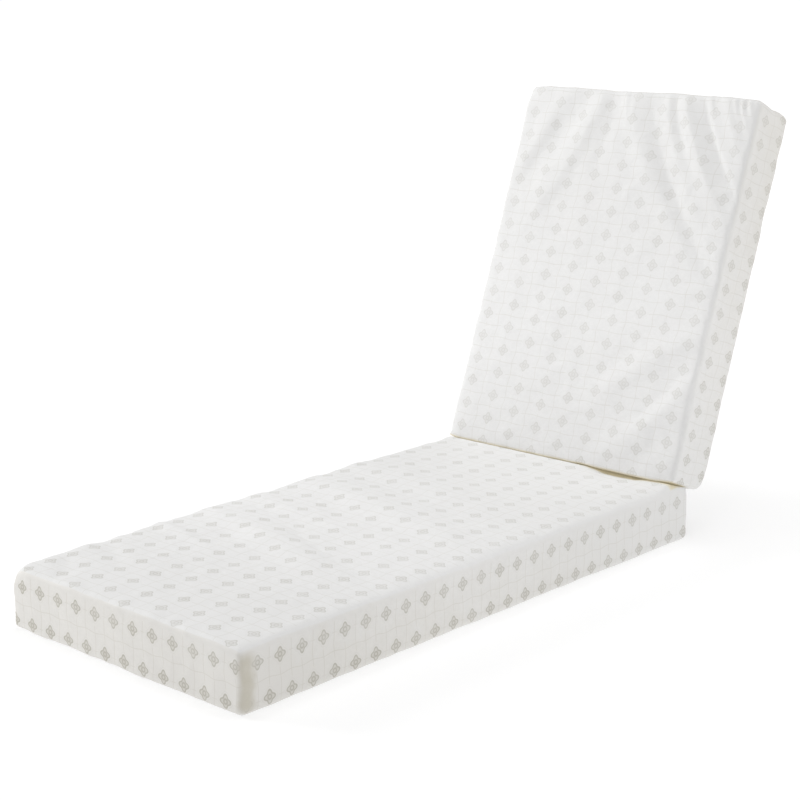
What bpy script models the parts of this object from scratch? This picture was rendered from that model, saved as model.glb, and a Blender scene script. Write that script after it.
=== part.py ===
"""A sun lounger cushion in two filled blocks: a long seat block lying flat, and a shorter back block of
the same width and thickness that leans back from its head end.

The width runs along X, the length along Y from the foot end to the head end, and Z is up. Each block is
shaped lying on its own underside, lower end at y = 0, and the back block is then turned up into place.
"""

import math

import bmesh
import bpy
import numpy as np
from mathutils import Matrix, Vector

# Driving dimensions, in metres and degrees
WIDTH = 0.560
THICKNESS = 0.110
SEAT_LENGTH = 1.155
BACK_LENGTH = 0.745
BACK_LEAN = 20.9           # how far the back block leans from upright
BACK_ROLL = 1.0            # its right side stands a little higher than its left
FOLD_PLACE = 1.098         # from the foot end to the back block's lower front edge
WEDGE = 0.0048             # height of that edge above the seat's top, halfway across
CONTACT_GAP = 0.0003       # between the back block's lower end and the seat it presses on

# How the filling sits in its wrap
EDGE_RADIUS = 0.011
EDGE_STEPS = 3
SEAT_GRID = 0.026          # spacing of the shaping grids
BACK_GRID = 0.023
NARROW_FOLDS_FROM = 0.370  # height up the back's face above which its grid is twice as fine
SEAT_CROWN = 0.005
BACK_CROWN = 0.003
SIDE_PULL = 0.0015         # how far the long sides draw in halfway along
CORNER_REACH = 0.055       # how far from a corner its pull is felt
EDGE_WAVE = 0.0012         # ripple of the wrap along the top edges
WAVE_LENGTHS = (0.170, 0.067)

# Corners that are crushed or drawn in. side is -1 left or 1 right, end is 0 lower or 1 upper,
# face is 0 underside or 1 face, and pull is how far the corner moves towards the block's middle.
CORNERS = {
    "seat_block": (
        dict(side=-1, end=0, face=1, pull=0.007),
        dict(side=1, end=0, face=1, pull=0.002),
        dict(side=-1, end=1, face=1, pull=0.003),
        dict(side=1, end=1, face=1, pull=0.003),
    ),
    "back_block": (
        dict(side=1, end=0, face=1, pull=0.003),
        dict(side=1, end=0, face=0, pull=0.005),
        dict(side=-1, end=0, face=1, pull=0.002),
        dict(side=-1, end=1, face=1, pull=0.002),
        dict(side=1, end=1, face=1, pull=0.004),
        dict(side=1, end=1, face=0, pull=0.002),
        dict(side=-1, end=1, face=0, pull=0.002),
    ),
}

# Folds of each block's face, one row each. A fold runs from start by way of middle to end, given as
# (across from the centre line, along from the lower end). height is positive for a ridge and negative
# for a trough. left and right are its half-widths to either hand of its run, and crest is the share
# of the run at which it is highest.
FOLDS = {
    "seat_block": (
        # slanting ridges that spring from the left edge, from the foot end on
        dict(start=(-0.330, 0.440), middle=(-0.060, 0.380), end=(0.185, 0.285),
             height=0.0100, left=0.050, right=0.056, crest=0.45),
        dict(start=(-0.330, 0.545), middle=(-0.160, 0.520), end=(0.060, 0.490),
             height=0.0056, left=0.060, right=0.042, crest=0.3),
        dict(start=(-0.330, 0.690), middle=(-0.040, 0.635), end=(0.270, 0.565),
             height=0.0105, left=0.080, right=0.064, crest=0.35),
        dict(start=(-0.340, 0.815), middle=(-0.080, 0.790), end=(0.170, 0.745),
             height=0.0064, left=0.110, right=0.066, crest=0.3),
        # a trough past the first ridge, and soft hollows at the foot end's left corner
        dict(start=(-0.110, 0.455), middle=(0.080, 0.385), end=(0.270, 0.325),
             height=-0.0026, left=0.034, right=0.030, crest=0.5),
        dict(start=(-0.300, 0.210), middle=(-0.210, 0.160), end=(-0.110, 0.095),
             height=-0.0030, left=0.034, right=0.040, crest=0.4),
        dict(start=(-0.290, 0.115), middle=(-0.215, 0.070), end=(-0.150, 0.015),
             height=-0.0030, left=0.030, right=0.034, crest=0.4),
        # along the crease, where the top swells to meet the back block's lower edge
        dict(start=(-0.260, 1.108), middle=(-0.040, 1.116), end=(0.125, 1.108),
             height=0.0042, left=0.080, right=0.100, crest=0.65),
        dict(start=(0.195, 1.110), middle=(0.260, 1.112), end=(0.330, 1.112),
             height=0.0085, left=0.080, right=0.060, crest=0.65),
    ),
    "back_block": (
        # the fan of folds from the top edge, left to right: a ridge, then the trough on its right
        dict(start=(-0.176, 0.750), middle=(-0.218, 0.645), end=(-0.268, 0.550),
             height=0.0034, left=0.030, right=0.034, crest=0.4),
        dict(start=(-0.112, 0.750), middle=(-0.170, 0.650), end=(-0.255, 0.515),
             height=-0.0042, left=0.040, right=0.034, crest=0.4),
        dict(start=(-0.084, 0.750), middle=(-0.122, 0.615), end=(-0.240, 0.400),
             height=0.0055, left=0.030, right=0.050, crest=0.35),
        dict(start=(-0.050, 0.750), middle=(-0.056, 0.655), end=(-0.072, 0.555),
             height=-0.0024, left=0.026, right=0.026, crest=0.3),
        dict(start=(-0.014, 0.750), middle=(0.054, 0.595), end=(0.220, 0.410),
             height=0.0042, left=0.030, right=0.036, crest=0.25),
        dict(start=(0.024, 0.750), middle=(0.112, 0.577), end=(0.290, 0.355),
             height=-0.0090, left=0.034, right=0.030, crest=0.5),
        dict(start=(0.066, 0.750), middle=(0.092, 0.677), end=(0.140, 0.580),
             height=0.0032, left=0.020, right=0.024, crest=0.25),
        dict(start=(0.086, 0.750), middle=(0.118, 0.665), end=(0.180, 0.565),
             height=-0.0036, left=0.022, right=0.020, crest=0.25),
        dict(start=(0.112, 0.750), middle=(0.162, 0.641), end=(0.285, 0.470),
             height=0.0084, left=0.024, right=0.034, crest=0.35),
        dict(start=(0.148, 0.750), middle=(0.202, 0.645), end=(0.300, 0.515),
             height=-0.0090, left=0.020, right=0.026, crest=0.4),
        dict(start=(0.206, 0.750), middle=(0.230, 0.687), end=(0.275, 0.615),
             height=0.0038, left=0.022, right=0.022, crest=0.3),
        # two ridges that curve across the lower right
        dict(start=(0.290, 0.297), middle=(0.152, 0.207), end=(0.030, 0.105),
             height=0.0044, left=0.038, right=0.045, crest=0.45),
        dict(start=(0.292, 0.243), middle=(0.208, 0.113), end=(0.050, 0.005),
             height=0.0066, left=0.056, right=0.036, crest=0.45),
    ),
}
FOLD_STEPS = 24            # straight steps that a fold's curve is measured in

WRAP_COLOUR = (0.80, 0.79, 0.77, 1.0)
WRAP_ROUGHNESS = 0.85


def clear_scene():
    for item in list(bpy.data.objects):
        bpy.data.objects.remove(item, do_unlink=True)


def ease(t):
    """Rise smoothly from 0 to 1 as t goes from 0 to 1."""
    t = np.clip(t, 0.0, 1.0)
    return t * t * (3.0 - 2.0 * t)


def hump(t):
    """1 halfway along a side, falling to 0 at its two ends, as t goes from 0 to 1."""
    return np.sin(np.pi * np.clip(t, 0.0, 1.0))


def even_places(start, end, spacing):
    """Places between two ends, about one spacing apart, without the ends."""
    count = max(1, round((end - start) / spacing))
    return [start + (end - start) * step / count for step in range(1, count)]


def cut_across(mesh, axis, places, faces_of=None):
    """Cut straight lines at places along an axis, over the whole block or over chosen faces of it."""
    direction = Vector([float(axis == index) for index in range(3)])
    for place in places:
        faces = faces_of(mesh) if faces_of else list(mesh.faces)
        edges = {edge for face in faces for edge in face.edges}
        verts = {vert for face in faces for vert in face.verts}
        bmesh.ops.bisect_plane(mesh, geom=list(verts) + list(edges) + faces, dist=1e-6,
                               plane_co=direction * place, plane_no=direction)


def plain_block(length, grid):
    """A block with rounded edges, standing on z = 0 from y = 0, its skin cut into an even grid."""
    mesh = bmesh.new()
    size = Matrix.Diagonal((WIDTH, length, THICKNESS, 1.0))
    place = Matrix.Translation((0.0, length / 2, THICKNESS / 2))
    bmesh.ops.create_cube(mesh, size=1.0, matrix=place @ size)
    bmesh.ops.bevel(mesh, geom=mesh.verts[:] + mesh.edges[:], offset=EDGE_RADIUS, offset_type="OFFSET",
                    segments=EDGE_STEPS, profile=0.5, affect="EDGES")
    half = WIDTH / 2 - EDGE_RADIUS
    cut_across(mesh, 0, even_places(-half, half, grid))
    cut_across(mesh, 1, even_places(EDGE_RADIUS, length - EDGE_RADIUS, grid))
    cut_across(mesh, 2, even_places(EDGE_RADIUS, THICKNESS - EDGE_RADIUS, grid))
    return mesh


def split_face_grid(mesh, length, grid, lowest):
    """Halve the grid of the block's face above a height along it, where its folds are narrow."""
    def upper_face(mesh):
        return [face for face in mesh.faces
                if min(vert.co.z for vert in face.verts) > THICKNESS - 1e-5
                and face.calc_center_median().y > lowest]

    half = WIDTH / 2 - EDGE_RADIUS
    top = length - EDGE_RADIUS
    columns = [-half] + even_places(-half, half, grid) + [half]
    rows = [EDGE_RADIUS] + even_places(EDGE_RADIUS, top, grid) + [top]
    middles = [(near + far) / 2 for near, far in zip(columns, columns[1:])]
    cut_across(mesh, 0, middles, upper_face)
    middles = [(near + far) / 2 for near, far in zip(rows, rows[1:])]
    cut_across(mesh, 1, [place for place in middles if place > lowest], upper_face)


def fold_height(x, y, fold):
    """Height that one fold adds at points of the face.

    The fold follows a curve through start, middle and end. Across it the height falls from crest to
    foot as half a cosine wave. Along it the height is a parabola with its top at the crest's share.
    """
    start, middle, end = (np.array(fold[name]) for name in ("start", "middle", "end"))
    handle = 2.0 * middle - (start + end) / 2.0
    t = np.linspace(0.0, 1.0, FOLD_STEPS + 1)[:, None]
    line = (1 - t) ** 2 * start + 2 * t * (1 - t) * handle + t ** 2 * end
    step = np.diff(line, axis=0)
    points = np.stack([x, y], axis=1)[:, None, :]
    share = ((points - line[:-1]) * step).sum(axis=2) / (step ** 2).sum(axis=1)
    share = np.clip(share, 0.0, 1.0)
    away = points - line[:-1] - share[..., None] * step
    nearest = np.linalg.norm(away, axis=2).argmin(axis=1)
    rows = np.arange(len(x))
    away, step = away[rows, nearest], step[nearest]
    on_left = step[:, 0] * away[:, 1] - step[:, 1] * away[:, 0] > 0
    half_width = np.where(on_left, fold["left"], fold["right"])
    across = np.clip(np.linalg.norm(away, axis=1) / half_width, 0.0, 1.0)
    along = (nearest + share[rows, nearest]) / FOLD_STEPS
    crest = fold["crest"]
    off_crest = np.where(along < crest, (crest - along) / crest, (along - crest) / (1 - crest))
    return fold["height"] * (0.5 + 0.5 * np.cos(np.pi * across)) * (1.0 - off_crest ** 2)


def shape_block(mesh, name, length, crown):
    """Give a plain block its crown, drawn-in sides, crushed corners, ripples and folds."""
    plain = np.array([vert.co for vert in mesh.verts])
    x, y, z = plain.T
    side, along = np.sign(x), y / length
    on_face = np.clip((z - (THICKNESS - EDGE_RADIUS)) / EDGE_RADIUS, 0.0, 1.0)
    to_side = WIDTH / 2 - np.abs(x)
    shaped = plain.copy()

    shaped[:, 2] += crown * on_face * (1 - (2 * x / WIDTH) ** 4) * (1 - (2 * along - 1) ** 8)
    shaped[:, 0] -= SIDE_PULL * side * ease(1 - to_side / (WIDTH / 4)) * hump(along)
    ripple = sum(np.sin(2 * np.pi * (y + 0.3 * x) / wave) for wave in WAVE_LENGTHS) / len(WAVE_LENGTHS)
    shaped[:, 2] += EDGE_WAVE * ripple * on_face * ease(1 - to_side / (4 * EDGE_RADIUS))

    for fold in FOLDS[name]:
        shaped[:, 2] += fold_height(x, y, fold) * on_face

    centre = np.array([0.0, length / 2, THICKNESS / 2])
    for corner in CORNERS[name]:
        tip = np.array([corner["side"] * WIDTH / 2, corner["end"] * length, corner["face"] * THICKNESS])
        near = np.clip(1 - np.linalg.norm(plain - tip, axis=1) / CORNER_REACH, 0.0, 1.0)
        shaped += corner["pull"] * near[:, None] ** 2 * np.sign(centre - tip)

    for vert, place in zip(mesh.verts, shaped):
        vert.co = place


def press_under(mesh, point, upward):
    """Press every point that would reach past a sloping plane straight down onto it."""
    for vert in mesh.verts:
        over = (vert.co - point).dot(upward)
        if over > 0.0:
            vert.co.z -= over / upward.z


def join_flat_underside(mesh):
    """Make one face of the flat part of the underside."""
    flat = [face for face in mesh.faces if all(abs(vert.co.z) < 1e-6 for vert in face.verts)]
    for vert in {vert for face in flat for vert in face.verts}:
        vert.co.z = 0.0
    bmesh.ops.dissolve_faces(mesh, faces=flat)


def add_object(name, mesh):
    bmesh.ops.triangulate(mesh, faces=mesh.faces[:], quad_method="SHORT_EDGE", ngon_method="BEAUTY")
    data = bpy.data.meshes.new(name)
    mesh.to_mesh(data)
    mesh.free()
    data.shade_smooth()
    material = bpy.data.materials.new(name + "_wrap")
    material.use_nodes = True
    surface = material.node_tree.nodes["Principled BSDF"]
    surface.inputs["Base Color"].default_value = WRAP_COLOUR
    surface.inputs["Roughness"].default_value = WRAP_ROUGHNESS
    surface.inputs["Metallic"].default_value = 0.0
    data.materials.append(material)
    item = bpy.data.objects.new(name, data)
    bpy.context.scene.collection.objects.link(item)
    return item


clear_scene()

# The back block turns about its lower front edge: up from lying face up, then sideways by its roll.
back_edge = Vector((0.0, FOLD_PLACE, THICKNESS + WEDGE))
back_turn = (Matrix.Rotation(-math.radians(BACK_ROLL), 4, "Y")
             @ Matrix.Rotation(math.radians(90.0 - BACK_LEAN), 4, "X"))
back_place = (Matrix.Translation(back_edge) @ back_turn
              @ Matrix.Translation((0.0, 0.0, -THICKNESS)))
back_upward = (back_turn @ Vector((0.0, 1.0, 0.0))).normalized()

seat_mesh = plain_block(SEAT_LENGTH, SEAT_GRID)
shape_block(seat_mesh, "seat_block", SEAT_LENGTH, SEAT_CROWN)
press_under(seat_mesh, back_edge - back_upward * CONTACT_GAP, back_upward)
join_flat_underside(seat_mesh)
seat = add_object("seat_block", seat_mesh)

back_mesh = plain_block(BACK_LENGTH, BACK_GRID)
split_face_grid(back_mesh, BACK_LENGTH, BACK_GRID, NARROW_FOLDS_FROM)
shape_block(back_mesh, "back_block", BACK_LENGTH, BACK_CROWN)
back = add_object("back_block", back_mesh)

# The whole cushion is centred over the origin, by the box that holds both blocks
reach = [vert.co for vert in seat.data.vertices] + [back_place @ vert.co for vert in back.data.vertices]
low = [min(point[axis] for point in reach) for axis in (0, 1)]
high = [max(point[axis] for point in reach) for axis in (0, 1)]
centred = Matrix.Translation((-(low[0] + high[0]) / 2, -(low[1] + high[1]) / 2, 0.0))
seat.matrix_world = centred
back.matrix_world = centred @ back_place
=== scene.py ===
import math

import bpy
import numpy as np
from mathutils import Matrix, Vector


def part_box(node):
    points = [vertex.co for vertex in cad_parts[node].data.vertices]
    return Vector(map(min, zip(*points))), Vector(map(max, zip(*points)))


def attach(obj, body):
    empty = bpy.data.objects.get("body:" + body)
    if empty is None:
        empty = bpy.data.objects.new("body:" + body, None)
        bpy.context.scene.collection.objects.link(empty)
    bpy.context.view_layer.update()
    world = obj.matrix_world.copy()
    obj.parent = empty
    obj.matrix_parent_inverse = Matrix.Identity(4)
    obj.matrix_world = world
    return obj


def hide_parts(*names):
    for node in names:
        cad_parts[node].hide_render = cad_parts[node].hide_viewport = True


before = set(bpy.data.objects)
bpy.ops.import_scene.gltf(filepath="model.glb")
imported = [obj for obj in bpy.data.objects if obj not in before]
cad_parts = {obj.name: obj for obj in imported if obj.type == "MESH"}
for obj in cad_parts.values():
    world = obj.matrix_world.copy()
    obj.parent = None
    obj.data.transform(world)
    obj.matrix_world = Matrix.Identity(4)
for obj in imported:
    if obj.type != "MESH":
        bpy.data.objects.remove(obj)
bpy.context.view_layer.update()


# Seat block: a slab of upholstery foam in a bag of thin printed non-woven cloth. The bag is drawn
# tight lengthwise, so the top lies nearly flat under a few broad slanting ridges. It is welded at
# the foot end's corners, and its head-end top edge is pressed down under the back block.

WIDTH = 0.560
THICKNESS = 0.110
SEAT_LENGTH = 1.155
EDGE_RADIUS = 0.011
ARC_STEPS = 3              # grid steps from the middle of a rounded edge to its end
SEAT_STEP = 0.0045         # spacing of the grid that the wrap is shaped on
SEAT_CROWN = 0.005
SIDE_PULL = 0.0015         # how far the long sides draw in halfway along
CORNER_REACH = 0.055       # how far from a corner its pull is felt
EDGE_WAVE = 0.0012         # ripple of the wrap along the top edges
WAVE_LENGTHS = (0.170, 0.067)
SEAT_EDGE_FALL = 0.0022    # how far the face falls off towards its long edges
FOLD_STEPS = 24            # straight steps that a fold's curve is measured in
RUMPLES = ((0.0007, 0.150), (0.0003, 0.050))    # height and wavelength of each
CREASE_HEIGHT = 0.0004
CREASE_WAVELENGTH = 0.090
SEAT_SEED = 11             # of its rumples and creases

# Corners that are crushed or drawn in. side is -1 left or 1 right, end is 0 lower or 1 upper, face
# is 0 underside or 1 face, and pull is how far the corner moves towards the block's middle, the
# same in every direction or given as (across, along, through the block).
SEAT_CORNERS = (
    dict(side=-1, end=0, face=1, pull=0.007),
    dict(side=1, end=0, face=1, pull=0.002),
    dict(side=-1, end=1, face=1, pull=0.003),
    dict(side=1, end=1, face=1, pull=0.003),
)

# Folds of the top, one row each. A fold runs from start by way of middle to end, given as (across
# from the centre line, along from the lower end). height is positive for a ridge and negative for a
# trough. left and right are its half-widths to either hand of its run. crest is the share of the
# run at which it is highest, and sharp is 0 for a round crest and 1 for a creased one.
SEAT_FOLDS = (
    # slanting ridges that spring from the left edge, from the foot end on
    dict(start=(-0.320, 0.318), middle=(-0.200, 0.303), end=(-0.070, 0.272),
         height=0.0040, left=0.022, right=0.024, crest=0.3, sharp=0.3),
    dict(start=(-0.330, 0.440), middle=(-0.060, 0.380), end=(0.185, 0.285),
         height=0.0098, left=0.100, right=0.052, crest=0.5, sharp=0.1),
    dict(start=(-0.330, 0.545), middle=(-0.160, 0.520), end=(0.060, 0.490),
         height=0.0050, left=0.070, right=0.038, crest=0.3, sharp=0.2),
    dict(start=(-0.330, 0.690), middle=(-0.040, 0.635), end=(0.270, 0.565),
         height=0.0105, left=0.110, right=0.058, crest=0.5, sharp=0.1),
    dict(start=(-0.340, 0.815), middle=(-0.080, 0.790), end=(0.170, 0.745),
         height=0.0060, left=0.095, right=0.066, crest=0.3, sharp=0.1),
    # a narrow trough past the second ridge, and soft hollows at the foot end's left corner
    dict(start=(-0.110, 0.455), middle=(0.080, 0.385), end=(0.270, 0.325),
         height=-0.0026, left=0.032, right=0.024, crest=0.5, sharp=0.2),
    dict(start=(-0.300, 0.210), middle=(-0.210, 0.160), end=(-0.110, 0.095),
         height=-0.0030, left=0.030, right=0.040, crest=0.4, sharp=0.1),
    dict(start=(-0.290, 0.115), middle=(-0.215, 0.070), end=(-0.150, 0.015),
         height=-0.0030, left=0.026, right=0.034, crest=0.4, sharp=0.2),
    # along the crease, where the top swells to meet the back block's lower edge, and a gap in it
    dict(start=(-0.260, 1.108), middle=(-0.040, 1.116), end=(0.125, 1.108),
         height=0.0042, left=0.080, right=0.100, crest=0.65, sharp=0.0),
    dict(start=(0.195, 1.110), middle=(0.260, 1.112), end=(0.330, 1.112),
         height=0.0085, left=0.080, right=0.060, crest=0.65, sharp=0.0),
    dict(start=(0.075, 1.102), middle=(0.145, 1.106), end=(0.220, 1.106),
         height=-0.0040, left=0.070, right=0.028, crest=0.5, sharp=0.0),
)


def places_along(span, step):
    """Grid places along one edge of a block, from 0 to its span.

    Within a radius of either end they are radius * (1 - tan(angle)) for even angles from 45 degrees
    to 0, which the rounded edge turns into even steps of arc. Between them they are even.
    """
    arc = EDGE_RADIUS * (1 - np.tan(np.linspace(math.pi / 4, 0, ARC_STEPS + 1)[:-1]))
    flat = span - 2 * EDGE_RADIUS
    even = np.linspace(EDGE_RADIUS, span - EDGE_RADIUS, round(flat / step) + 1)
    return np.concatenate([arc, even, span - arc[::-1]])


def block_skin(length, step):
    """Closed skin of a block with rounded edges, with its lower end at y = 0 and standing on z = 0.

    Each of its six sides is a grid of two parameters. A grid point is drawn back to the nearest
    point of an inner block, one radius smaller all round, and then stands one radius off it in the
    direction of its own plain place. Points that sides share are merged by their whole-number place.
    Returns the points, their outward directions, the quads, each quad's side and its plain corners.
    """
    size = np.array([WIDTH, length, THICKNESS])
    places = [places_along(span, step) for span in size]
    counts = [len(along) for along in places]
    steps, quads, sides, first = [], [], [], 0
    for axis in range(3):
        across, along = (axis + 1) % 3, (axis + 2) % 3
        rows, columns = np.meshgrid(range(counts[across]), range(counts[along]), indexing="ij")
        number = np.arange(rows.size).reshape(rows.shape)
        for end in (0, 1):
            place = np.zeros((rows.size, 3), int)
            place[:, axis] = end * (counts[axis] - 1)
            place[:, across] = rows.ravel()
            place[:, along] = columns.ravel()
            grid = number + first
            quad = np.stack([grid[:-1, :-1], grid[1:, :-1], grid[1:, 1:], grid[:-1, 1:]], -1)
            quad = quad.reshape(-1, 4)
            steps.append(place)
            quads.append(quad if end else quad[:, ::-1])
            sides.append(np.full(len(quad), 2 * axis + end))
            first += rows.size
    shared, number = np.unique(np.concatenate(steps), axis=0, return_inverse=True)
    quads = number.ravel()[np.concatenate(quads)]
    plain = np.stack([places[axis][shared[:, axis]] for axis in range(3)], 1)
    inner = np.clip(plain, EDGE_RADIUS, size - EDGE_RADIUS)
    outward = (plain - inner) / np.linalg.norm(plain - inner, axis=1, keepdims=True)
    centred = np.array([WIDTH / 2, 0.0, 0.0])
    skin = inner + EDGE_RADIUS * outward - centred
    return skin, outward, quads, np.concatenate(sides), (plain - centred)[quads]


def ease(t):
    """Rise smoothly from 0 to 1 as t goes from 0 to 1."""
    t = np.clip(t, 0.0, 1.0)
    return t * t * (3.0 - 2.0 * t)


def hump(t):
    """1 halfway along a side, falling to 0 at its two ends, as t goes from 0 to 1."""
    return np.sin(np.pi * np.clip(t, 0.0, 1.0))


def fold_height(x, y, start, middle, end, height, left, right, crest, sharp):
    """Height that one fold adds at points of a face.

    The fold follows a curve through start, middle and end. Across it the height falls from crest to
    foot as half a cosine wave, mixed by sharp with the square of the distance left to the foot.
    Along it the height is a parabola with its top at the crest's share.
    """
    start, middle, end = np.array(start), np.array(middle), np.array(end)
    handle = 2.0 * middle - (start + end) / 2.0
    t = np.linspace(0.0, 1.0, FOLD_STEPS + 1)[:, None]
    line = (1 - t) ** 2 * start + 2 * t * (1 - t) * handle + t ** 2 * end
    run = np.diff(line, axis=0)
    points = np.stack([x, y], axis=1)[:, None, :]
    share = ((points - line[:-1]) * run).sum(axis=2) / (run ** 2).sum(axis=1)
    share = np.clip(share, 0.0, 1.0)
    offset = points - line[:-1] - share[..., None] * run
    distance = np.linalg.norm(offset, axis=2)
    nearest = distance.argmin(axis=1)
    rows = np.arange(len(x))
    offset, run = offset[rows, nearest], run[nearest]
    on_left = run[:, 0] * offset[:, 1] - run[:, 1] * offset[:, 0] > 0
    across = np.clip(distance[rows, nearest] / np.where(on_left, left, right), 0.0, 1.0)
    along = (nearest + share[rows, nearest]) / FOLD_STEPS
    off_crest = np.where(along < crest, (crest - along) / crest, (along - crest) / (1 - crest))
    profile = (1 - sharp) * (0.5 + 0.5 * np.cos(np.pi * across)) + sharp * (1 - across) ** 2
    return height * profile * (1.0 - off_crest ** 2)


def rumple(points, wavelength, seed, waves=24):
    """Soft unevenness, mostly within -1 to 1: a sum of waves of random direction, length and phase."""
    random = np.random.default_rng(seed)
    ways = random.normal(size=(waves, 3))
    ways *= 2 * np.pi / wavelength / np.linalg.norm(ways, axis=1, keepdims=True)
    ways *= random.uniform(0.6, 1.5, (waves, 1))
    phases = random.uniform(0, 2 * np.pi, waves)
    return np.cos(points @ ways.T + phases).sum(axis=1) * 0.9 / math.sqrt(waves)


def filled_wrap(skin, outward, length, crown, edge_fall, corners, folds, seed):
    """Give a plain skin the form of a filled wrap.

    The face rises by a crown that is flat in its middle, and the long sides draw in as a hump. The
    top edges ripple and the long ones fall off softly, each fold adds its height to the face, and
    each listed corner is pulled inwards by the square of its nearness. Small rumples lie over all,
    and fine creases where a third sum of waves passes through zero.
    """
    x, y, z = skin.T
    side, along = np.sign(x), y / length
    on_face = np.clip((z - (THICKNESS - EDGE_RADIUS)) / EDGE_RADIUS, 0.0, 1.0)
    to_side = WIDTH / 2 - np.abs(x)
    shaped = skin.copy()

    shaped[:, 2] += crown * on_face * (1 - (2 * x / WIDTH) ** 4) * (1 - (2 * along - 1) ** 8)
    shaped[:, 0] -= SIDE_PULL * side * ease(1 - to_side / (WIDTH / 4)) * hump(along)
    ripple = sum(np.sin(2 * np.pi * (y + x) / wave) for wave in WAVE_LENGTHS) / len(WAVE_LENGTHS)
    to_edge = np.minimum(to_side, np.minimum(y, length - y))
    shaped[:, 2] += EDGE_WAVE * ripple * on_face * ease(1 - to_edge / (4 * EDGE_RADIUS))
    shaped[:, 2] -= edge_fall * on_face * ease(1 - to_side / (2 * EDGE_RADIUS))

    face = on_face > 0
    for fold in folds:
        shaped[face, 2] += fold_height(x[face], y[face], **fold) * on_face[face]

    centre = np.array([0.0, length / 2, THICKNESS / 2])
    for corner in corners:
        tip = np.array([corner["side"] * WIDTH / 2, corner["end"] * length, corner["face"] * THICKNESS])
        near = np.clip(1 - np.linalg.norm(skin - tip, axis=1) / CORNER_REACH, 0.0, 1.0)
        shaped += np.array(corner["pull"]) * near[:, None] ** 2 * np.sign(centre - tip)

    soft = sum(height * rumple(skin, wavelength, seed + turn)
               for turn, (height, wavelength) in enumerate(RUMPLES))
    creased = 1 - 2 * np.abs(rumple(skin, CREASE_WAVELENGTH, seed + len(RUMPLES)))
    shaped += (soft + CREASE_HEIGHT * creased)[:, None] * outward
    return shaped


def print_map(corners, side, length, start):
    """Where each quad's corners lie on the flat printed cloth, in metres.

    The face, the long sides and the underside are one strip folded round the block: u follows the
    girth and v the length, from its start on the roll. The two end walls carry the right side's
    cloth on round the corner.
    """
    x, y, z = corners.reshape(-1, 3).T
    girth = WIDTH / 2 + THICKNESS - z
    inward = WIDTH / 2 - x
    side = np.repeat(side, 4)
    u = np.choose(side, [-girth, girth, girth, girth, girth + inward, x])
    v = np.choose(side, [y, y, -inward, length + inward, y, y])
    return np.stack([u, v + start], 1)


def wrapped_piece(name, points, quads, corners, side, length, start, crease_shade_and_glow, material):
    """A closed mesh object of the wrap, with its place in its mesh and its print map."""
    mesh = bpy.data.meshes.new(name)
    mesh.from_pydata(points, [], quads)
    mesh.uv_layers.new(name="print")
    mesh.uv_layers["print"].uv.foreach_set("vector", print_map(corners, side, length, start).ravel())
    mesh.attributes.new("crease_shade_and_glow", "FLOAT", "POINT").data.foreach_set("value", crease_shade_and_glow)
    mesh.shade_smooth()
    mesh.materials.append(material)
    piece = bpy.data.objects.new(name, mesh)
    bpy.context.scene.collection.objects.link(piece)
    return piece


class Shade:
    """One output in a surface's shader. Arithmetic on it adds Math nodes to the same shader."""

    def __init__(self, tree, socket=None):
        self.tree = tree
        self.socket = socket

    def node(self, kind, settings, inputs, output=0):
        """Add a node: its settings are set first, then each input gets its value or its link."""
        made = self.tree.nodes.new(kind)
        for name, value in settings.items():
            setattr(made, name, value)
        for name, value in inputs.items():
            if isinstance(value, Shade):
                self.tree.links.new(value.socket, made.inputs[name])
            else:
                made.inputs[name].default_value = value
        return Shade(self.tree, made.outputs[output])

    def math(self, operation, *others):
        """Add a Math node that takes this value first, and then any others."""
        return self.node("ShaderNodeMath", {"operation": operation}, dict(enumerate((self, *others))))

    def __add__(self, other):
        return self.math("ADD", other)

    def __sub__(self, other):
        return self.math("SUBTRACT", other)

    def __rsub__(self, other):
        return self * -1.0 + other

    def __mul__(self, other):
        return self.math("MULTIPLY", other)

    def __truediv__(self, other):
        return self.math("DIVIDE", other)

    def __mod__(self, other):
        return self.math("FLOORED_MODULO", other)

    def __abs__(self):
        return self.math("ABSOLUTE")

    __radd__ = __add__
    __rmul__ = __mul__

    def wave(self, length):
        """A sine wave along the value, from -1 to 1, that repeats at every length."""
        return (self * (2 * math.pi / length)).math("SINE")

    def under(self, limit, soft):
        """1 where the value is under a limit, 0 where it is over, and a soft step between."""
        return self.node("ShaderNodeMapRange", {"interpolation_type": "SMOOTHSTEP"},
                         {"Value": self, "From Min": limit - soft, "From Max": limit + soft,
                          "To Min": 1.0, "To Max": 0.0})

    def tint(self, colour, by):
        """A colour multiplied by another one, where this value is the amount from 0 to 1."""
        return self.node("ShaderNodeMix", {"data_type": "RGBA", "blend_type": "MULTIPLY"},
                         {0: self, 6: colour, 7: by}, output=2)

    def blend(self, colour, other):
        """A colour that turns into another one as this value goes from 0 to 1."""
        return self.node("ShaderNodeMix", {"data_type": "RGBA"}, {0: self, 6: colour, 7: other}, output=2)


# Each noise is a pattern from 0 to 1, times its gain and added to its start
CLOTH_WHITE = (0.880, 0.877, 0.872, 1.0)
WRAP_ROUGHNESS = 0.78
CLOUD_AND_SHADE_TINT = (0.938, 0.938, 0.935, 1.0)     # cloudy places of the cloth, and painted shade along the roll
CLOUD_NOISE = dict(scale=150.0, detail=4.0, roughness=0.6, gain=1.6, start=-0.56)
SHADE_WAVE_EVERY = 0.98                           # length of the roll between the places of most painted shade
FIBRE_NOISE = dict(scale=1300.0, detail=2.0, roughness=0.5, gain=0.00005, start=0.0)
CRINKLE_NOISE = dict(scale=55.0, detail=4.0, roughness=0.55, gain=0.0016, start=0.0)

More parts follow.
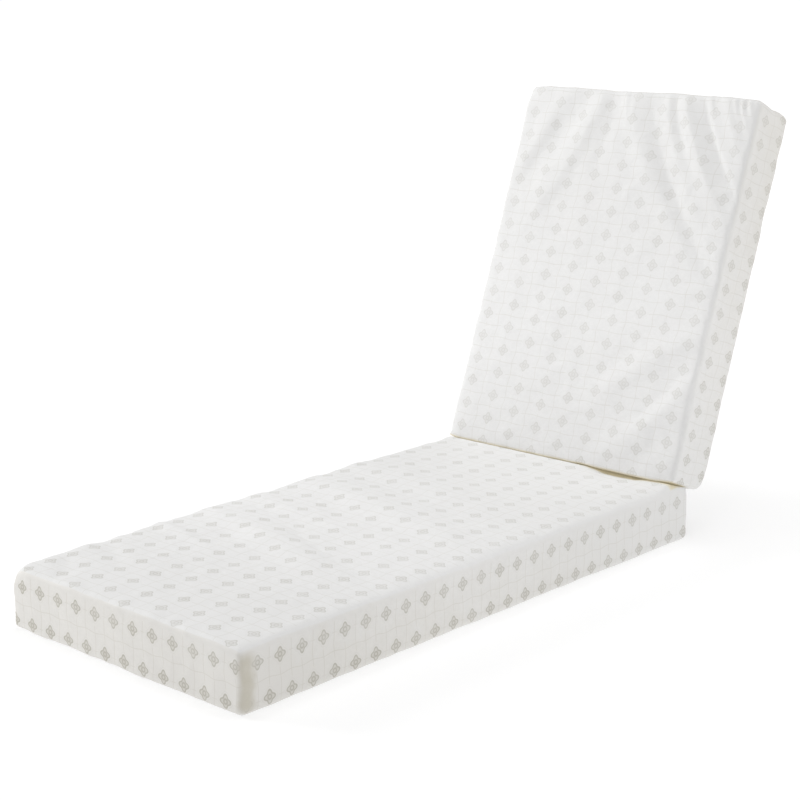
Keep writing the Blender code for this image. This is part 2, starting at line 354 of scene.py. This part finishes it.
INK_TINT = (0.66, 0.645, 0.595, 1.0)        # pale warm-grey print
INK_NOISE = dict(scale=24.0, detail=3.0, roughness=0.5, gain=0.9, start=0.5)
FACE_INK = 0.60                             # strength of the print on the faces
WALL_INK = 0.42                             # added to it on the walls
FIRST_INK = 1.03                            # share of its strength where the roll starts
INK_LOSS = 0.25                             # lost from that share with each metre of the roll
REPEAT_ACROSS = 0.062                       # of the print, round the girth
REPEAT_ALONG = 0.047
FIRST_ROW = 0.25                            # share of a repeat that lies before the roll's start
LINE_TINT = (0.905, 0.895, 0.87, 1.0)
LINE_WIDTH = 0.0012
LINE_SWAY = (0.0014, 0.0010)                # of the lines along the roll, and of those across it
EDGE_HIGHLIGHT_HALF = 0.011                           # half of the unprinted band over the long top edges, left bare as a painted highlight

# A blossom's lines, as shares of its size from its middle, and how much ink each one takes
BLOSSOM_SIZE = (0.0122, 0.0118)             # half of its width and height
PETAL_REACH = 0.86
PETAL_SWING = 0.17                          # how far its outline swings out and in round PETAL_REACH
OUTLINE_HALF = 0.11                         # half-widths of the outline, the eye's ring and the halo
EYE_HALF = 0.10
HALO_HALF = 0.05
EYE_RADIUS = 0.30
HALO_OFFSET = 0.30                          # from the outline outwards
CLEAR_RADIUS = 1.6                          # ground that the fine lines leave free
PETAL_INK = 0.38
DRAWN_INK = 0.62                            # of the outline and the eye's ring
HALO_INK = 0.14

WALL_TINT = (0.940, 0.924, 0.892, 1.0)      # the foam's tan showing through, most on the walls, with painted shade there
WALL_NOISE = dict(scale=30.0, detail=2.0, roughness=0.5, gain=1.0, start=0.5)
WALL_GAIN = (0.6, 6.0)                       # at a wall's top, and gained with each metre down it, so it is darker towards the bottom
LEAST_SHADE_PLACE = 1.15                        # place on the roll where the walls get least painted shade
ROLL_SHADE = (0.20, 0.9)                      # painted shade there, and gained with each metre from there
CREASE_SHADE_TINT = (0.85, 0.765, 0.56, 1.0)        # painted warm shade in the crease between the blocks
PAINTED_CREASE_GLOW = (0.078, 0.078, 0.066, 1.0)    # painted glow in the crease, standing in for light let through the cloth there
# painted shade of the pinched fold over the foot end's upright corners, where the cloth is welded
WELD_SHADE_TINT = (0.77, 0.745, 0.67, 1.0)
WELD_SHADE_NOISE = dict(scale=60.0, detail=2.0, roughness=0.5, gain=0.35, start=0.75)
WELD_WIDTH = 0.030                          # of the strip over the foot end's upright corners
WELD_PLACE = 0.011                          # its middle, from the corner's plain edge
WELD_SPAN = (0.290, 0.384)                  # from its upper to its lower end, round the girth
WELD_FADE = (0.011, 0.010)                  # of its long edges and of its ends
WELD_SWAY = dict(scale=45.0, detail=3.0, roughness=0.5, gain=0.020, start=-0.010)


def blossoms(u, v):
    """Ink of four-petalled blossoms in half-drop rows, and the clear ground kept round each one.

    Each column of cells is shifted by half a repeat from the one before it. Within a cell the
    petals' outline lies at PETAL_REACH + PETAL_SWING * cos(4 * angle), and the cosine of four times
    the angle is found from the squares of the two distances. The petals are filled palely, and the
    outline and a ring round the eye are darker.
    """
    across_cells = u / REPEAT_ACROSS + 0.5
    column = across_cells.math("FLOOR")
    row = v / REPEAT_ALONG + (column % 2.0) * 0.5 + FIRST_ROW
    across = (across_cells - column - 0.5) * (REPEAT_ACROSS / BLOSSOM_SIZE[0])
    along = (row - row.math("FLOOR") - 0.5) * (REPEAT_ALONG / BLOSSOM_SIZE[1])
    across_squared, along_squared = across * across, along * along
    squared = across_squared + along_squared + 1e-6
    turn = (across_squared - along_squared) / squared
    reach = squared.math("SQRT")
    past_outline = reach - ((2.0 * turn * turn - 1.0) * PETAL_SWING + PETAL_REACH)
    outline = abs(past_outline + OUTLINE_HALF).under(OUTLINE_HALF, 0.10)
    petals = past_outline.under(0.0, 0.09)
    eye = abs(reach - EYE_RADIUS).under(EYE_HALF, 0.10)
    halo = abs(past_outline - HALO_OFFSET).under(HALO_HALF, 0.07)
    ink = petals * PETAL_INK + outline.math("MAXIMUM", eye) * DRAWN_INK + halo * HALO_INK
    return ink, reach.under(CLEAR_RADIUS, 0.2)


def fine_lines(place, pitch):
    """Ink of thin lines at every multiple of a pitch, found from the distance to the nearest one."""
    share = place / pitch + 0.5
    off = abs(share - share.math("FLOOR") - 0.5) * pitch
    return off.under(LINE_WIDTH / 2, LINE_WIDTH / 2)


def wrap_cloth(name):
    """Printed non-woven cloth: pale blossoms and a fine-lined check on a slightly cloudy white.

    Its white is multiplied in turn by the tints of cloudy places with painted shade along the roll,
    walls with their tan and painted shade, lines, blossoms, the welds' painted shade and the crease's
    painted warm shade, each by an amount that is worked out from the print map, from noise or from
    crease_shade_and_glow, which also gives the crease a painted glow.
    """
    material = bpy.data.materials.new(name)
    material.use_nodes = True
    material.cycles.emission_sampling = "NONE"
    tree = material.node_tree
    surface = tree.nodes["Principled BSDF"]
    shade = Shade(tree)
    place = shade.node("ShaderNodeTexCoord", {}, {}, output="Object")
    flat = shade.node("ShaderNodeUVMap", {"uv_map": "print"}, {})
    u = shade.node("ShaderNodeSeparateXYZ", {}, {"Vector": flat}, output="X")
    v = shade.node("ShaderNodeSeparateXYZ", {}, {"Vector": flat}, output="Y")
    crease_paint = shade.node("ShaderNodeAttribute", {"attribute_name": "crease_shade_and_glow"}, {}, output="Fac")

    def noise(scale, detail, roughness, gain, start):
        pattern = shade.node("ShaderNodeTexNoise", {},
                             {"Vector": place, "Scale": scale, "Detail": detail, "Roughness": roughness})
        return pattern * gain + start

    # Where the foot end's corners are welded and get painted shade, and where there is print
    off_weld = abs(v - WELD_PLACE + noise(**WELD_SWAY))
    off_span = abs(abs(u) - sum(WELD_SPAN) / 2)
    weld = off_weld.under(WELD_WIDTH / 2, WELD_FADE[0])
    weld = weld * off_span.under((WELD_SPAN[1] - WELD_SPAN[0]) / 2, WELD_FADE[1])
    # the long top edges are left unprinted, as a painted highlight
    printed = 1.0 - abs(abs(u) - WIDTH / 2).under(EDGE_HIGHLIGHT_HALF, 0.001)
    printed = printed * (1.0 - weld) * noise(**INK_NOISE)

    # Blossoms, and lines that sway a little round them
    ink, clear = blossoms(u, v)
    lines = fine_lines(u + v.wave(REPEAT_ALONG) * LINE_SWAY[0], REPEAT_ACROSS / 2)
    cross_place = v + u.wave(REPEAT_ACROSS) * LINE_SWAY[1] + REPEAT_ALONG * FIRST_ROW
    lines = lines.math("MAXIMUM", fine_lines(cross_place, REPEAT_ALONG / 2))

    # Cloudy places with painted shade along the roll, and walls, whose tan and painted shade grow
    # downwards and towards both ends of the roll
    shade_wave = (v + SHADE_WAVE_EVERY / 4).wave(SHADE_WAVE_EVERY) * 0.5 + 0.5
    cloud_and_shade = noise(**CLOUD_NOISE) + shade_wave
    below = abs(u) - WIDTH / 2
    walls = abs(below - THICKNESS / 2).under(THICKNESS / 2, 0.004) * (below * WALL_GAIN[1] + WALL_GAIN[0])
    roll_shade = abs(v - LEAST_SHADE_PLACE) * ROLL_SHADE[1] + ROLL_SHADE[0]
    strength = (walls * WALL_INK + FACE_INK) * (FIRST_INK - v * INK_LOSS)

    # painted shade along the roll, over the cloth's cloudy places
    colour = cloud_and_shade.tint(CLOTH_WHITE, CLOUD_AND_SHADE_TINT)
    # the walls' tan, with painted shade down each wall and towards both ends of the roll
    colour = (walls * roll_shade * noise(**WALL_NOISE)).tint(colour, WALL_TINT)
    colour = (lines * (1.0 - clear) * printed).tint(colour, LINE_TINT)
    colour = (ink * printed * strength).tint(colour, INK_TINT)
    # painted shade of the pinched fold at the foot end's welded corners
    colour = (weld * noise(**WELD_SHADE_NOISE)).tint(colour, WELD_SHADE_TINT)
    # painted warm shade in the crease between the blocks
    colour = crease_paint.tint(colour, CREASE_SHADE_TINT)
    tree.links.new(colour.socket, surface.inputs["Base Color"])

    relief = noise(**FIBRE_NOISE) + noise(**CRINKLE_NOISE)
    bump = shade.node("ShaderNodeBump", {}, {"Height": relief, "Distance": 1.0})
    tree.links.new(bump.socket, surface.inputs["Normal"])
    # painted glow in the crease between the blocks
    painted_crease_light = crease_paint.blend((0.0, 0.0, 0.0, 1.0), PAINTED_CREASE_GLOW)
    tree.links.new(painted_crease_light.socket, surface.inputs["Emission Color"])
    surface.inputs["Emission Strength"].default_value = 1.0
    surface.inputs["Roughness"].default_value = WRAP_ROUGHNESS
    return material


FOLD_PLACE = 1.098         # from the foot end to the back block's lower front edge
WEDGE = 0.0048             # height of that edge above the seat's top, halfway across
BACK_LEAN = 20.9           # how far the back block leans from upright, in degrees
BACK_ROLL = 1.0            # its right side stands a little higher than its left, in degrees
CONTACT_GAP = 0.0003       # between the back block's lower end and the seat it presses on
SEAT_CREASE_PAINT_FADE = 0.008     # length over which the seat's painted shade and glow in the crease come in

seat_low, seat_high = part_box("seat_block")
seat_place = Vector(((seat_low.x + seat_high.x) / 2, seat_low.y, 0.0))
back_edge = Vector((0.0, FOLD_PLACE, THICKNESS + WEDGE))
back_turn = (Matrix.Rotation(-math.radians(BACK_ROLL), 4, "Y")
             @ Matrix.Rotation(math.radians(90.0 - BACK_LEAN), 4, "X"))

wrap = wrap_cloth("printed_wrap")
skin, outward, quads, side, corners = block_skin(SEAT_LENGTH, SEAT_STEP)
points = filled_wrap(skin, outward, SEAT_LENGTH, SEAT_CROWN, SEAT_EDGE_FALL, SEAT_CORNERS, SEAT_FOLDS,
                     SEAT_SEED)
points[:, 2] = np.maximum(points[:, 2], 0.0)

# Every point that would reach past the back block's lower end is pressed straight down onto it
upward = np.array(back_turn.col[1][:3])
over = (points - np.array(back_edge)) @ upward + CONTACT_GAP
points[:, 2] -= np.clip(over, 0.0, None) / upward[2]
# Painted warm shade and a painted glow on the seat's top past the back block's lower edge
in_crease = ease((skin[:, 1] - FOLD_PLACE) / SEAT_CREASE_PAINT_FADE + 0.5)
seat_crease_paint = in_crease * (skin[:, 2] > THICKNESS - EDGE_RADIUS / 2)

seat = wrapped_piece("seat_wrap", points + np.array(seat_place), quads, corners, side, SEAT_LENGTH,
                     0.0, seat_crease_paint, wrap)
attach(seat, "root")
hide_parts("seat_block")


# Back block: a shorter slab of the same foam in the same cloth, raised from the seat's head end.
# The bag is drawn towards the upper right, which pulls its front into a fan of folds from the top
# edge, with short gathers at the top right corner and a long curved ridge at the lower right.

BACK_LENGTH = 0.745
BACK_LIP = 0.75            # how far its lower front edge is pressed square, from 0 to 1
BACK_STEP = 0.0036
BACK_CROWN = 0.003
BACK_EDGE_FALL = 0.0010
BACK_SEED = 23
BACK_CLOTH_START = 1.2525  # where its cloth starts on the roll, past the seat block's
BACK_CREASE_PAINT_FADE = 0.0035    # height over which the painted shade and glow of its lower end go out
BACK_CREASE_PAINT_FROM = 0.040     # how far from its rear face the painted shade and glow start, and where they are full
BACK_CREASE_PAINT_FULL = 0.070

BACK_CORNERS = (
    dict(side=1, end=0, face=1, pull=0.003),
    dict(side=1, end=0, face=0, pull=0.005),
    dict(side=-1, end=0, face=1, pull=0.002),
    dict(side=-1, end=1, face=1, pull=0.002),
    dict(side=1, end=1, face=1, pull=(0.002, 0.003, 0.003)),
    dict(side=1, end=1, face=0.5, pull=(0.000, 0.009, 0.000)),
    dict(side=1, end=1, face=0, pull=(0.001, 0.010, 0.000)),
    dict(side=-1, end=1, face=0, pull=0.002),
)

BACK_FOLDS = (
    # the fan of folds from the top edge, left to right: a ridge, then the trough on its right
    dict(start=(-0.176, 0.750), middle=(-0.218, 0.645), end=(-0.268, 0.550),
         height=0.0030, left=0.030, right=0.034, crest=0.4, sharp=0.2),
    dict(start=(-0.112, 0.750), middle=(-0.170, 0.650), end=(-0.255, 0.515),
         height=-0.0036, left=0.040, right=0.034, crest=0.4, sharp=0.0),
    dict(start=(-0.084, 0.750), middle=(-0.122, 0.615), end=(-0.240, 0.400),
         height=0.0046, left=0.030, right=0.052, crest=0.35, sharp=0.3),
    dict(start=(-0.050, 0.750), middle=(-0.056, 0.655), end=(-0.072, 0.555),
         height=-0.0024, left=0.026, right=0.024, crest=0.3, sharp=0.2),
    dict(start=(-0.014, 0.750), middle=(0.054, 0.595), end=(0.220, 0.410),
         height=0.0042, left=0.030, right=0.036, crest=0.25, sharp=0.2),
    dict(start=(0.024, 0.750), middle=(0.112, 0.577), end=(0.290, 0.355),
         height=-0.0072, left=0.034, right=0.026, crest=0.55, sharp=0.4),
    dict(start=(0.066, 0.750), middle=(0.092, 0.677), end=(0.140, 0.580),
         height=0.0026, left=0.016, right=0.022, crest=0.25, sharp=0.5),
    dict(start=(0.086, 0.750), middle=(0.118, 0.665), end=(0.180, 0.565),
         height=-0.0030, left=0.018, right=0.014, crest=0.25, sharp=0.5),
    dict(start=(0.112, 0.750), middle=(0.162, 0.641), end=(0.285, 0.470),
         height=0.0070, left=0.022, right=0.034, crest=0.40, sharp=0.5),
    dict(start=(0.148, 0.750), middle=(0.202, 0.645), end=(0.300, 0.515),
         height=-0.0078, left=0.014, right=0.024, crest=0.45, sharp=0.6),
    dict(start=(0.206, 0.750), middle=(0.230, 0.687), end=(0.275, 0.615),
         height=0.0038, left=0.020, right=0.022, crest=0.3, sharp=0.4),
    # two ridges that curve across the lower right, and a small hollow beside the lower one
    dict(start=(0.290, 0.297), middle=(0.152, 0.207), end=(0.030, 0.105),
         height=0.0044, left=0.038, right=0.045, crest=0.45, sharp=0.2),
    dict(start=(0.292, 0.243), middle=(0.208, 0.113), end=(0.050, 0.005),
         height=0.0056, left=0.060, right=0.036, crest=0.45, sharp=0.2),
    dict(start=(0.205, 0.097), middle=(0.216, 0.077), end=(0.232, 0.055),
         height=-0.0024, left=0.024, right=0.024, crest=0.5, sharp=0.0),
    # short gathers along the top edge, and one small crease
    dict(start=(0.222, 0.750), middle=(0.234, 0.717), end=(0.252, 0.685),
         height=0.0034, left=0.008, right=0.009, crest=0.2, sharp=0.6),
    dict(start=(0.238, 0.750), middle=(0.250, 0.713), end=(0.268, 0.681),
         height=0.0034, left=0.007, right=0.008, crest=0.2, sharp=0.6),
    dict(start=(0.256, 0.750), middle=(0.263, 0.723), end=(0.272, 0.703),
         height=0.0030, left=0.007, right=0.008, crest=0.2, sharp=0.6),
    dict(start=(0.164, 0.750), middle=(0.174, 0.727), end=(0.184, 0.705),
         height=0.0026, left=0.008, right=0.008, crest=0.2, sharp=0.6),
    dict(start=(-0.030, 0.750), middle=(-0.022, 0.710), end=(-0.008, 0.665),
         height=0.0014, left=0.010, right=0.010, crest=0.2, sharp=0.5),
    dict(start=(0.258, 0.323), middle=(0.266, 0.316), end=(0.278, 0.311),
         height=0.0020, left=0.008, right=0.008, crest=0.5, sharp=0.5),
)

skin, outward, quads, side, corners = block_skin(BACK_LENGTH, BACK_STEP)

# Its weight presses the lower front edge, which rests in the crease, nearly square
lip = np.clip(-2 * outward[:, 1], 0.0, 1.0) * np.clip(2 * outward[:, 2], 0.0, 1.0)
square = EDGE_RADIUS * (1 / np.abs(outward).max(axis=1) - 1)
skin = skin + (BACK_LIP * lip * square)[:, None] * outward
points = filled_wrap(skin, outward, BACK_LENGTH, BACK_CROWN, BACK_EDGE_FALL, BACK_CORNERS, BACK_FOLDS,
                     BACK_SEED)
points[:, 1] = np.maximum(points[:, 1], 0.0)
# Painted warm shade and a painted glow on the back block's lower end, towards its front
to_front = (skin[:, 2] - BACK_CREASE_PAINT_FROM) / (BACK_CREASE_PAINT_FULL - BACK_CREASE_PAINT_FROM)
back_crease_paint = ease(1 - skin[:, 1] / BACK_CREASE_PAINT_FADE) * ease(to_front)
turn = np.array(back_turn.to_3x3())
points = (points - np.array([0.0, 0.0, THICKNESS])) @ turn.T + np.array(back_edge + seat_place)

back = wrapped_piece("back_wrap", points, quads, corners, side, BACK_LENGTH, BACK_CLOTH_START,
                     back_crease_paint, wrap)
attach(back, "root")
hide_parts("back_block")


# Floor: a plain white studio floor, a little bright of itself, so that it stays nearly white in the
# soft shadow beside the cushion.

FLOOR_SIZE = 60.0
FLOOR_WHITE = (0.50, 0.50, 0.50, 1.0)
FLOOR_ROUGHNESS = 0.9
FLOOR_GLOW = (0.57, 0.84)  # within NEAR_FLOOR of the middle, and from FAR_FLOOR outwards
NEAR_FLOOR = 0.8
FAR_FLOOR = 4.5

floor_mesh = bpy.data.meshes.new("floor")
reach = FLOOR_SIZE / 2
floor_mesh.from_pydata([(-reach, -reach, 0), (reach, -reach, 0), (reach, reach, 0), (-reach, reach, 0)],
                       [], [(0, 1, 2, 3)])
floor_material = bpy.data.materials.new("floor_white")
floor_material.use_nodes = True
floor_surface = floor_material.node_tree.nodes["Principled BSDF"]
floor_surface.inputs["Base Color"].default_value = FLOOR_WHITE
floor_surface.inputs["Roughness"].default_value = FLOOR_ROUGHNESS
floor_surface.inputs["Specular IOR Level"].default_value = 0.0
floor_surface.inputs["Emission Strength"].default_value = 1.0
floor_shade = Shade(floor_material.node_tree)
floor_place = floor_shade.node("ShaderNodeTexCoord", {}, {}, output="Object")
floor_reach = floor_shade.node("ShaderNodeVectorMath", {"operation": "LENGTH"}, {0: floor_place},
                               output="Value")
floor_glow = floor_reach.node("ShaderNodeMapRange", {"interpolation_type": "SMOOTHSTEP"},
                              {"Value": floor_reach, "From Min": NEAR_FLOOR, "From Max": FAR_FLOOR,
                               "To Min": FLOOR_GLOW[0], "To Max": FLOOR_GLOW[1]})
floor_material.node_tree.links.new(floor_glow.socket, floor_surface.inputs["Emission Color"])
floor_mesh.materials.append(floor_material)
floor = bpy.data.objects.new("floor", floor_mesh)
bpy.context.scene.collection.objects.link(floor)


# Light: an even white surround, a soft light from the left of the foot end, a wide stronger one
# overhead, and two weak ones, from the front and from the far right, that lift the walls.

ROOM_LIGHT = 0.38

world = bpy.data.worlds.new("studio")
world.use_nodes = True
bpy.context.scene.world = world
room = Shade(world.node_tree)
seen = room.node("ShaderNodeLightPath", {}, {}, output="Is Camera Ray")
background = world.node_tree.nodes["Background"]
background.inputs["Color"].default_value = (1.0, 1.0, 1.0, 1.0)
world.node_tree.links.new((seen * (1.0 - ROOM_LIGHT) + ROOM_LIGHT).socket, background.inputs["Strength"])

STUDIO_LIGHTS = (
    dict(name="key_left", place=(-4.6, -2.2, 2.2), size=2.2, power=124.0),
    dict(name="overhead", place=(0.0, 1.0, 8.0), size=5.0, power=262.0),
    dict(name="fill_front", place=(1.4, -4.6, 1.7), size=1.6, power=18.0),
    dict(name="fill_right", place=(3.4, 2.2, 0.9), size=1.6, power=25.0),
)
LIGHT_TARGET = Vector((0.0, 0.1, 0.25))

for row in STUDIO_LIGHTS:
    lamp = bpy.data.lights.new(row["name"], "AREA")
    lamp.size = row["size"]
    lamp.energy = row["power"]
    light = bpy.data.objects.new(row["name"], lamp)
    light.location = row["place"]
    light.rotation_euler = (LIGHT_TARGET - light.location).to_track_quat("-Z", "Y").to_euler()
    bpy.context.scene.collection.objects.link(light)


# Camera: the view of the photograph, from the right of the foot end and a little above.

CAMERA_LENS = 90.57
CAMERA_AZIMUTH = math.radians(42.72)
CAMERA_ELEVATION = math.radians(14.55)
CAMERA_DISTANCE = 4.8426
CAMERA_AIM = Vector((-0.8336, 1.5550, 0.0))     # a point of the floor plane, from the seat's foot end

camera = bpy.data.objects.new("camera", bpy.data.cameras.new("camera"))
bpy.context.scene.collection.objects.link(camera)
bpy.context.scene.camera = camera
camera.data.lens = CAMERA_LENS
towards_camera = Vector((math.sin(CAMERA_AZIMUTH) * math.cos(CAMERA_ELEVATION),
                         -math.cos(CAMERA_AZIMUTH) * math.cos(CAMERA_ELEVATION),
                         math.sin(CAMERA_ELEVATION)))
camera.location = seat_place + CAMERA_AIM + CAMERA_DISTANCE * towards_camera
camera.rotation_euler = (-towards_camera).to_track_quat("-Z", "Y").to_euler()
bpy.context.scene.view_settings.view_transform = "Standard"
